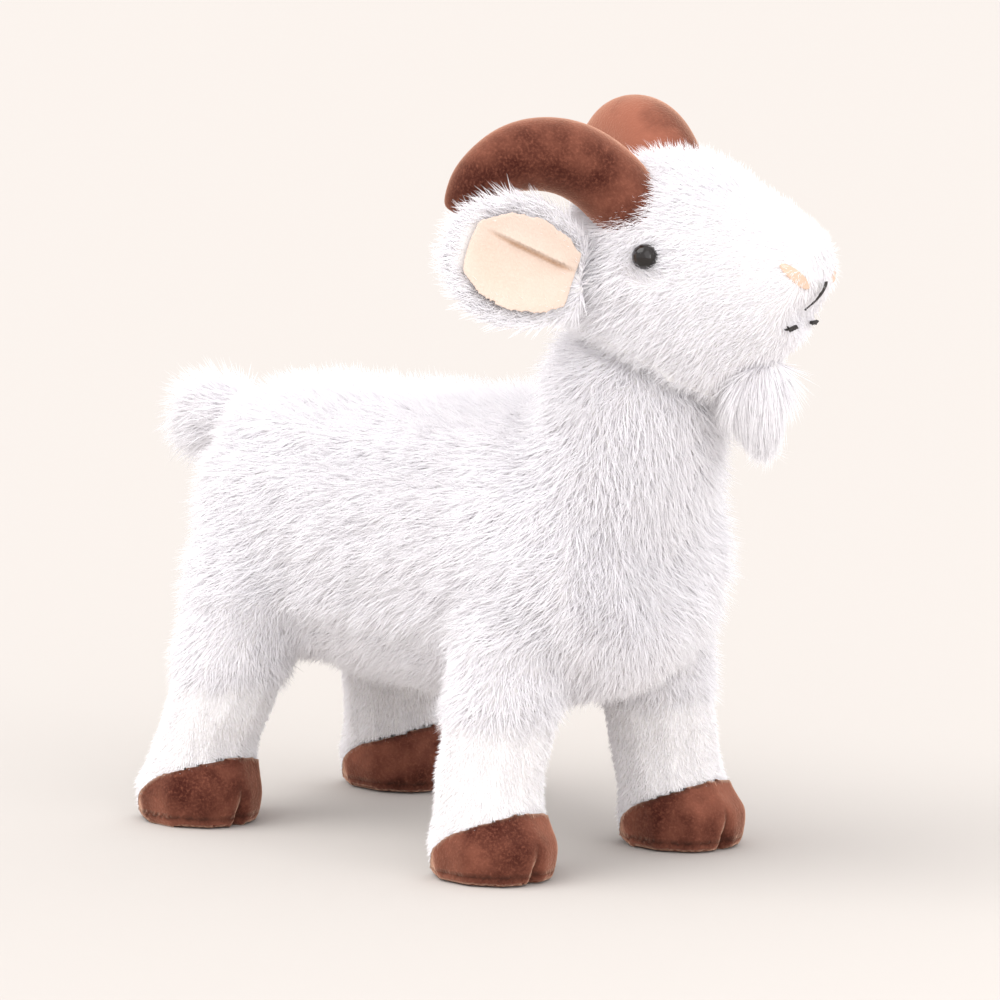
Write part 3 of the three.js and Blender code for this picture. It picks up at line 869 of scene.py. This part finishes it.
def hoof_seam_and_cleft_shade(place, foot):
    """How near a place is to the sole's gathered seam or to the cleft of the toe; the cleft's darkening is
    painted shade.
    """
    gather = GATHER_DEPTH * math.sin((place.x + place.y) * GATHERS)
    sole_line = max(0, 1 - abs(place.z - SEAM_HEIGHT - gather) / SEAM_HALF_WIDTH)
    on_toe = place.x > foot.x + CLEFT_START
    # Painted shade in the cleft of the toe.
    cleft = max(0, 1 - abs(place.y - foot.y) / SEAM_HALF_WIDTH) if on_toe else 0
    cleft *= max(0, 1 - place.z / (CLEFT_TOP * MM)) ** 0.5
    edge = max(0, 1 - abs(cap_edge(place, foot)) / (1.2 * MM))
    return max(sole_line * 0.8, cleft * 0.9, edge * 0.7)


def shape_foot(skin, foot):
    """Rounds the toe over, waists the ankle above it and presses the cleft into the toe."""
    for vertex in skin.data.vertices:
        ahead = (vertex.co.x - foot.x) / (25 * MM)
        aside = (vertex.co.y - foot.y) / MM
        height = vertex.co.z / MM
        if ahead > 0 and height < 60:
            toe = min(1, ahead) ** 2
            waist = 5.0 * math.exp(-((height - 33) / 10) ** 2) * toe
            cleft = 6.0 * math.exp(-(aside / 2.6) ** 2) * max(0, 1 - height / CLEFT_TOP) * toe
            vertex.co.x -= (waist + cleft) * MM
        if height < 30:
            puff = 1.3 * math.exp(-((height - 13) / 7) ** 2)
            vertex.co += vertex.normal * puff * MM
        vertex.co.z = max(0, vertex.co.z)
    skin.data.update()


def build_lower_legs():
    """The short-pile sleeve, the velour cap and the sole of each leg."""
    for index, leg in enumerate(LEGS):
        foot, end = leg_frame(leg)
        parts = ("leg_sleeve", "hoof_cap", "hoof_sole", "leg_stuffing")
        skin = skin_over(f"leg_skin_{leg}", [f"{part}_{leg}" for part in parts], 1.7 * MM, 4)
        shape_foot(skin, foot)
        top = HEM[end] + SLEEVE_LAP

        def is_sole(place, normal):
            return place.z < SOLE_TOP and normal.z < -0.6

        def keep_sleeve(place, normal, foot=foot, top=top):
            return cap_edge(place, foot) > 0.4 * MM and place.z < top and not is_sole(place, normal)

        def keep_cap(place, normal, foot=foot):
            return cap_edge(place, foot) <= 0 and not is_sole(place, normal)

        sleeve = part_of(skin, f"sleeve_{leg}", keep_sleeve)
        inset(sleeve, lambda p: SLEEVE_INSET)
        pile = coat_settings().sleeve_pile
        hair = grow_hair(
            sleeve, f"sleeve_hair_{leg}",
            lambda p, n: combed(Vector((0, 0, -1)), n, 0.9, p, 0.3, 0.3),
            lambda p, n, pile=pile: pile, lambda p, n: 1.0,
            mess=0.35, density=1150000.0, width=0.5 * MM, seed=51 + index)
        for vertex in hair.data.vertices:
            vertex.co.z = max(FLOOR_CLEARANCE, vertex.co.z)
        apply_modifier(sleeve, "SOLIDIFY", thickness=BACKING_THICKNESS, offset=-1)
        finish_fur(sleeve, hair, "torso", f"leg_sleeve_{leg}", "short_hair", "short_pile")

        cap = part_of(skin, f"hoof_{leg}", keep_cap)
        evened(cap, foot)
        store(cap, "seam", "FLOAT", [hoof_seam_and_cleft_shade(v.co, foot) for v in cap.data.vertices])
        apply_modifier(cap, "SOLIDIFY", thickness=CAP_THICKNESS, offset=-0.2)
        smooth_shaded(cap)
        dress(cap, "velour")
        finish_piece(cap, "torso", "brown_velour", f"hoof_cap_{leg}")

        sole = part_of(skin, f"sole_{leg}", is_sole)
        apply_modifier(sole, "SOLIDIFY", thickness=SOLE_THICKNESS, offset=-1)
        smooth_shaded(sole)
        dress(sole, "velour")
        finish_piece(sole, "torso", "brown_velour", f"hoof_sole_{leg}")
        bpy.data.objects.remove(skin)


MOUTH_PARTS = ("middle", "right", "left")
MOUTH_PARTING = 2.6 * MM
EYE_PARTING = 6.0 * MM
EYE_NEARNESS = 12 * MM
BEARD_NEARNESS = 19 * MM
BEARD_ROOT_PILE = 14 * MM
CROWN_HEIGHT = 296
CROWN_FRONT = 46
NECK_HOLE = 38 * MM
NECK_HOLE_TOP = 45 * MM


def beard_nearness(place):
    """1 at the root of the beard, falling to 0 some way round it."""
    root = Vector(joint("beard_swing")["pos_m"])
    return max(0, 1 - (place - root).length / BEARD_NEARNESS)


def head_pile(place, normal):
    """The pile's length on the head, longer round the root of the beard."""
    return face_pile(place) + BEARD_ROOT_PILE * beard_nearness(place)


def head_flow(place, normal):
    """Which way the pile lies on the head: back from the nose and down the cheeks."""
    local = head_place(place)
    cheek = held((52 - local.x) / 50)
    direction = -HEAD_FORWARD + UP * (-0.25 - 0.55 * cheek)
    if local.z > CROWN_HEIGHT and local.x < CROWN_FRONT:
        direction = -HEAD_FORWARD * 0.5 + HEAD_LEFT * math.copysign(0.4, local.y) + UP * 0.1
    lift = 0.5 + 0.3 * cheek
    if beard_nearness(place) > 0:
        return combed(-UP - HEAD_FORWARD * 0.1, normal, 0.25, place, 0.15, 0.2)
    to_eye = eye_reach(place)
    if to_eye.length < EYE_NEARNESS and abs(to_eye.z) > 0.5 * to_eye.length:
        return (to_eye.normalized() - HEAD_FORWARD * 0.7 + normal * 0.75).normalized()
    return combed(direction, normal, lift, place, 0.25, 0.3)


def eye_reach(place):
    """The way from a place on the head to the middle of the nearer eye."""
    side = "left" if head_place(place).y > 0 else "right"
    low, high = node_box(f"eye_{side}")
    return (low + high) / 2 - place


def mouth_tree():
    """A search tree over the mouth's thread."""
    if "mouth_tree" not in SKINS:
        guide = merged_copy("mouth_guide", [f"mouth_thread_{part}" for part in MOUTH_PARTS])
        folded(guide)
        SKINS["mouth_tree"] = bvh_of(guide)
        bpy.data.objects.remove(guide)
    return SKINS["mouth_tree"]


def head_cover(place, normal):
    """No hair grows over the eyes or along the mouth's thread."""
    along_mouth = mouth_tree().find_nearest(place)[3] < MOUTH_PARTING
    return 0.0 if along_mouth or eye_reach(place).length < EYE_PARTING else 1.0


def build_head():
    """The coat of the head."""
    def keep(place, normal):
        return (place - NECK).length > NECK_HOLE or place.z > NECK.z + NECK_HOLE_TOP

    cloth = part_of(head_skin(), "head_fur", keep)
    hair = grow_hair(
        cloth, "head_hair", head_flow, head_pile, head_cover,
        density=coat_settings().density * 1.35, width=coat_settings().hair_width * 0.85, seed=71)
    finish_coat(cloth, hair, "head", "head_coat")


SEAM_ANGLE = 0.10
# The middle of a horn (forward, outward, height) and its radius, in the head's frame.
HORN_PATH = (
    (9, 19, 279, 14), (2, 21, 287, 16), (-7, 28, 301, 16.2), (-20, 37.5, 310.5, 16.2),
    (-36, 47.5, 311, 15.2), (-50, 55, 302.5, 12.0), (-59, 58.5, 292.5, 8.0), (-63, 60, 287, 3.5),
)


def build_horns():
    """The velour horns, each swept along a smooth arch, with its seam on the inner side."""
    for side in SIDES:
        bpy.ops.object.select_all(action="DESELECT")
        bpy.ops.curve.primitive_nurbs_path_add(location=(0, 0, 0))
        sweep = bpy.context.object
        sweep.name = f"horn_{side}"
        spline = sweep.data.splines[0]
        spline.points.add(len(HORN_PATH) - len(spline.points))
        for point, (forward, outward, height, radius) in zip(spline.points, HORN_PATH):
            point.co = (*in_head(forward, outward, height, side), 1)
            point.radius = radius
        spline.order_u = 3
        spline.use_endpoint_u = True
        sweep.data.resolution_u = 12
        sweep.data.bevel_depth = 1 * MM
        sweep.data.bevel_resolution = 10
        sweep.data.use_fill_caps = True
        bpy.ops.object.convert(target="MESH")
        horn = bpy.context.object
        apply_modifier(horn, "REMESH", mode="VOXEL", voxel_size=1.2 * MM)
        apply_modifier(horn, "SMOOTH", factor=0.5, iterations=12)
        apply_modifier(
            horn, "BOOLEAN", operation="DIFFERENCE", object=head_skin(), solver="EXACT")
        keep_largest_shell(horn)
        store(horn, "seam", "FLOAT", [horn_seam(v.co, v.normal) for v in horn.data.vertices])
        # Painted sheen: the side of each horn that faces the other horn is drawn lighter.
        inward = HEAD_LEFT * (-1 if side == "left" else 1)
        store(horn, "brush", "FLOAT", [max(0, v.normal.dot(inward)) * 0.75 for v in horn.data.vertices])
        smooth_shaded(horn)
        dress(horn, "velour")
        finish_piece(horn, "head", "brown_velour", f"horn_cover_{side}")


def horn_seam(place, normal):
    """How near a place is to the seam along the horn's underside."""
    local = head_place(place)
    below = Vector((0, -math.copysign(0.62, local.y), -0.78)).normalized()
    turned = Vector((normal.dot(HEAD_FORWARD), normal.dot(HEAD_LEFT), normal.z))
    flat = Vector((0, turned.y, turned.z))
    if flat.length < 0.2:
        return 0.0
    return max(0.0, 1 - flat.normalized().angle(below) / SEAM_ANGLE)


def crease_lining(lining, root, reach, upward, facing):
    """Presses a fold along the ear, so that its upper half laps over the lower one, and paints shade along
    the fold line.
    """
    values = []
    for vertex in lining.data.vertices:
        along = (vertex.co - root).dot(reach) / MM
        above = (vertex.co - root).dot(upward) / MM - 4 - 0.10 * along
        front = vertex.normal.dot(facing) > 0
        ends = held((along - 4) / 8) * held((48 - along) / 14)
        step = 1.6 * math.exp(-above / 5) if above > 0 else -2.2 * math.exp(above / 7)
        if front:
            vertex.co += facing * step * ends * MM
        # Painted shade just below the fold line, under the lapping upper half.
        values.append(max(0, 1 - abs(above + 0.6) / 1.0) * ends if front else 0)
    lining.data.update()
    store(lining, "seam", "FLOAT", values)


LINING_RISE = 0.8 * MM
LINING_ROOM = 2.2 * MM
EAR_PILE = 9.5 * MM


def build_ears():
    """Each ear's furry back and its smooth lining."""
    for index, side in enumerate(SIDES):
        back = skin_over(f"ear_fur_{side}", [f"ear_back_{side}"], 1.3 * MM, 4)
        hinge = joint(f"ear_fold_{side}")
        root = Vector(hinge["pos_m"])
        low, high = node_box(f"ear_back_{side}")
        reach = ((low + high) / 2 - root).normalized()
        facing = reach.cross(Vector(hinge["axis"])).normalized()
        if facing.dot(HEAD_FORWARD) < 0:
            facing.negate()
        lining = skin_over(f"ear_inner_{side}", [f"ear_lining_{side}"], 0.9 * MM, 48)
        lining_tree = bvh_of(lining)
        inset(back, lambda p: 0.2 * MM)

        def under_lining(place, normal, facing=facing, tree=lining_tree):
            near = tree.find_nearest(place)[3]
            return 0.0 if near < LINING_ROOM and normal.dot(facing) > 0 else 1.0

        def flow(place, normal, reach=reach, root=root):
            out = (place - root).normalized()
            return combed(reach * 0.7 + out * 0.6, normal, 0.35, place, 0.2, 0.3)

        hair = grow_hair(
            back, f"ear_hair_{side}", flow, lambda p, n: EAR_PILE, under_lining,
            density=900000.0, width=0.6 * MM, seed=91 + index)
        finish_fur(back, hair, f"ear_{side}", f"ear_back_{side}")
        lining.data.transform(Matrix.Translation(facing * LINING_RISE))
        crease_lining(lining, root, reach, Vector(hinge["axis"]).normalized(), facing)
        smooth_shaded(lining)
        dress(lining, "lining")
        finish_piece(lining, f"ear_{side}", "peach_velour", f"ear_lining_{side}")


TAIL_PILE = 15 * MM
TAIL_ROOT = 9 * MM


def build_tail():
    """The short tail."""
    pivot = Vector(joint("tail_wag")["pos_m"])
    skin = skin_over("tail_fur", ["tail_cover", "tail_stuffing"], 2 * MM, 5)
    inset(skin, lambda p: 4 * MM)
    hair = grow_hair(
        skin, "tail_hair", lambda p, n: combed(Vector((-1, 0, -0.35)), n, 0.5, p),
        lambda p, n: TAIL_PILE, lambda p, n: 1.0 if p.x < pivot.x - TAIL_ROOT else 0.0, seed=111)
    finish_fur(skin, hair, "tail", "tail_cover")


BEARD_PILE = 15 * MM
BEARD_TIP = 192 * MM
TIP_RISE = 0.75


def build_beard():
    """The long beard: fuller at its root, and drawn up at its tip to make room for the hair."""
    skin = skin_over("beard", ["beard_tuft"], 1.2 * MM, 4)
    inset(skin, lambda p: 1.0 * MM - 5 * MM * held((p.z - 190 * MM) / (20 * MM)))
    for vertex in skin.data.vertices:
        vertex.co.z += 4 * MM * max(0, (vertex.co.z - 200 * MM) / (15 * MM))
        vertex.co.z += TIP_RISE * max(0, BEARD_TIP - vertex.co.z)
    hair = grow_hair(
        skin, "beard_hair", lambda p, n: combed(Vector((0, 0, -1)), n, 0.06, p, 0.10, 0.14),
        lambda p, n: BEARD_PILE + 0.12 * max(0, p.z - 188 * MM), lambda p, n: 1.0, mess=0.12,
        density=1300000.0, width=0.42 * MM, seed=121)
    finish_fur(skin, hair, "beard", "beard_tuft")


EYE_SIZE_SHARE = 0.88
EYE_SINK = 1.6 * MM
THREAD_INSET = 0.6 * MM
NOSTRIL_SINK = 2.4 * MM


def build_eyes():
    """The domed black eyes."""
    for side in SIDES:
        eye = merged_copy(f"eye_dome_{side}", [f"eye_{side}"])
        apply_modifier(eye, "REMESH", mode="VOXEL", voxel_size=0.35 * MM)
        apply_modifier(eye, "SMOOTH", factor=0.5, iterations=6)
        low, high = node_box(f"eye_{side}")
        middle = (low + high) / 2
        sunk = Matrix.Translation(middle - HEAD_LEFT * (EYE_SINK if side == "left" else -EYE_SINK))
        eye.data.transform(sunk @ Matrix.Scale(EYE_SIZE_SHARE, 4) @ Matrix.Translation(-middle))
        smooth_shaded(eye)
        dress(eye, "eye")
        finish_piece(eye, "head", "eye_black", f"eye_{side}")


def build_face_trim():
    """The nostril patches and the mouth's thread."""
    for side in SIDES:
        patch = skin_over(f"nostril_{side}", [f"nostril_patch_{side}"], 0.4 * MM, 3)
        sink = HEAD_FORWARD * 1.2 + HEAD_LEFT * (0.7 if side == "left" else -0.7)
        patch.data.transform(Matrix.Translation(-sink * NOSTRIL_SINK))
        smooth_shaded(patch)
        dress(patch, "nostril")
        finish_piece(patch, "head", "peach_velour", f"nostril_patch_{side}")
    for part in MOUTH_PARTS:
        thread = skin_over(f"mouth_line_{part}", [f"mouth_thread_{part}"], 0.3 * MM, 3)
        inset(thread, lambda p: THREAD_INSET)
        folded(thread)
        smooth_shaded(thread)
        dress(thread, "thread")
        finish_piece(thread, "head", "dark_thread", f"mouth_thread_{part}")


FILLING_INSET = 4.5 * MM


def build_filling():
    """The loose fibre inside each part, and the finish of the washers behind the eyes."""
    bodies = {"leg": "torso", "horn": "head"}
    for node in list(frame["nodes"]):
        if "stuffing" in node:
            wad = skin_over(node.replace("stuffing", "filling"), [node], 3 * MM, 6)
            inset(wad, lambda p: FILLING_INSET)
            smooth_shaded(wad)
            dress(wad, "fill")
            part = node.split("_")[0]
            finish_piece(wad, bodies.get(part, part), "fibre_fill", node)
        elif "washer" in node:
            dress(frame["nodes"][node], "washer")


def add_light(kind, name, place, toward, **values):
    """Adds a light that shines the way `toward` points."""
    bpy.ops.object.light_add(type=kind, location=place)
    light = bpy.context.object
    light.name = name
    for key, value in values.items():
        setattr(light.data, key, value)
    light.rotation_euler = toward.to_track_quat("-Z", "Y").to_euler()


def build_stage():
    """The floor, the lights and the camera."""
    scene = bpy.context.scene
    studio = scene.goat_studio
    bpy.ops.object.select_all(action="DESELECT")
    bpy.ops.mesh.primitive_plane_add(size=14, location=(0, 0, -0.0004))
    floor = bpy.context.object
    floor.name = "studio_floor"
    paper, _, shader = new_material("floor_paper")
    fill_inputs(shader, {
        "Base Color": rgba(studio.floor_colour), "Roughness": 0.95, "Specular IOR Level": 0.0})
    floor.data.materials.append(paper)

    world = bpy.data.worlds.new("studio_world")
    scene.world = world
    world.use_nodes = True
    sky = world.node_tree.nodes["Background"]
    sky.inputs[0].default_value = rgba((1.0, 0.98, 0.985))
    sky.inputs[1].default_value = studio.sky

    sun_way = Vector((-0.35, -0.75, 1.15))
    add_light(
        "SUN", "soft_key", sun_way, -sun_way,
        angle=math.radians(50), energy=studio.key, color=(1.0, 0.985, 0.97))
    fill_way = Vector((0.9, -0.35, 0.5))
    add_light(
        "SUN", "soft_fill", fill_way, -fill_way,
        angle=math.radians(60), energy=studio.fill, color=(0.98, 0.985, 1.0))
    glint_place = NECK + Vector((0.95, 0.05, 0.16))
    add_light("AREA", "eye_glint", glint_place, NECK - glint_place, size=0.22, energy=0.9)

    back_way = Vector((
        math.sin(studio.azimuth) * math.cos(studio.elevation),
        -math.cos(studio.azimuth) * math.cos(studio.elevation),
        math.sin(studio.elevation)))
    aim = NECK + Vector((-83.3 * MM, 0, -55 * MM))
    bpy.ops.object.camera_add(location=aim + back_way * studio.distance)
    camera = bpy.context.object
    camera.name = "studio_camera"
    camera.rotation_euler = (-back_way).to_track_quat("-Z", "Y").to_euler()
    camera.data.lens = studio.lens
    camera.data.sensor_width = 36
    scene.camera = camera
    scene.view_settings.view_transform = "Standard"


# ---- Operators, panel and registration ----


GROUPS = (
    ("stage", "Studio", "Adds the floor, the lights and the camera", build_stage),
    ("head", "Head Coat", "Grows the coat of the head", build_head),
    ("trunk", "Trunk Coat", "Grows the coat of the trunk and neck", build_trunk),
    ("thighs", "Thigh Coats", "Grows the coat of the shoulders and thighs", build_thighs),
    ("lower_legs", "Lower Legs", "Makes the sleeves, hoof caps and soles", build_lower_legs),
    ("horns", "Horns", "Makes the velour horns", build_horns),
    ("ears", "Ears", "Makes the ears and their linings", build_ears),
    ("tail", "Tail", "Grows the tail", build_tail),
    ("beard", "Beard", "Grows the beard", build_beard),
    ("eyes", "Eyes", "Makes the domed eyes", build_eyes),
    ("face_trim", "Nostrils and Mouth", "Makes the nostrils and the mouth", build_face_trim),
    ("inside", "Filling", "Gives the filling and the washers their finish", build_filling),
)


def operator_for(name, label, description, build):
    """An operator class that builds one group of pieces."""

    def execute(self, context):
        build()
        return {"FINISHED"}

    return type(f"GOAT_OT_{name}", (bpy.types.Operator,), {
        "bl_idname": f"goat.{name}", "bl_label": label, "bl_description": description,
        "bl_options": {"REGISTER", "UNDO"}, "execute": execute})


STEPS = [operator_for(*group) for group in GROUPS]


class GOAT_PT_panel(bpy.types.Panel):
    """Lists the goat's settings and steps"""

    bl_label = "Plush Goat"
    bl_idname = "GOAT_PT_panel"
    bl_space_type = "VIEW_3D"
    bl_region_type = "UI"
    bl_category = "Goat"

    def draw(self, context):
        """Draws the settings, then one button for each step."""
        for settings in (context.scene.goat_coat, context.scene.goat_velour, context.scene.goat_studio):
            box = self.layout.box()
            for name in settings.__annotations__:
                box.prop(settings, name)
        for step in STEPS:
            self.layout.operator(step.bl_idname)


SETTINGS = {
    "goat_coat": GoatCoatSettings,
    "goat_velour": GoatVelourSettings,
    "goat_studio": GoatStudioSettings,
}
CLASSES = (*SETTINGS.values(), *STEPS, GOAT_PT_panel)


def register():
    """Registers the classes and hangs the settings on the scene."""
    for cls in CLASSES:
        bpy.utils.register_class(cls)
    for name, cls in SETTINGS.items():
        setattr(bpy.types.Scene, name, bpy.props.PointerProperty(type=cls))


def unregister():
    """Undoes register."""
    for name in SETTINGS:
        delattr(bpy.types.Scene, name)
    for cls in reversed(CLASSES):
        bpy.utils.unregister_class(cls)


def remove_helpers():
    """Removes the skins and strands that the pieces were made from."""
    for name in ("trunk_skin", "head_skin", "hair_strand"):
        ob = bpy.data.objects.get(name)
        if ob:
            bpy.data.objects.remove(ob)


def main():
    """Builds the goat step by step."""
    register()
    for step in STEPS:
        group, name = step.bl_idname.split(".")
        getattr(getattr(bpy.ops, group), name)()
    remove_helpers()


if __name__ == "__main__":
    main()
